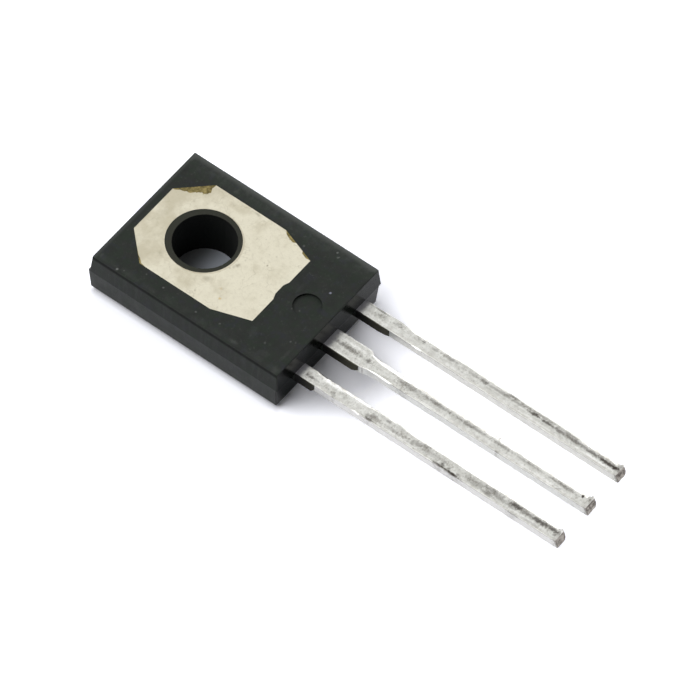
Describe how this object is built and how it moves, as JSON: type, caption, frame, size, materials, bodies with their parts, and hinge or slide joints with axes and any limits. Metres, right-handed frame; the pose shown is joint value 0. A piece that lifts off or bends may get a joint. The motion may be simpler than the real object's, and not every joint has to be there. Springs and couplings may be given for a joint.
{
  "type": "power transistor",
  "caption": "Flat plastic-moulded power transistor with a bare metal mounting face, a through hole for one screw and three long leads in a row.",
  "frame": {"origin": "the mounting hole's axis, on the front face, which is down", "axes": "+Z along the hole's axis from the front face to the bare metal face, leads running towards -Y, +X across the body"},
  "size_m": [0.0078, 0.0262, 0.0027],
  "materials": {
    "epoxy": "black moulding epoxy, matt on the faces and satin on the drafted sides",
    "nickel_plate": "matt nickel plating on copper, with thin resin bleed at some edges",
    "tinned_lead": "dull tin coat on copper, mottled, with bright rolled edges",
    "silicon": "polished silicon",
    "solder": "soft solder",
    "bond_wire": "bright drawn aluminium"
  },
  "bodies": {
    "root": {"moulded_body": "epoxy", "collector_frame": "nickel_plate", "base_lead": "tinned_lead", "emitter_lead": "tinned_lead", "silicon_die": "silicon", "die_attach_solder": "solder", "base_bond_wire": "bond_wire", "emitter_bond_wire": "bond_wire"}
  },
  "joints": []
}
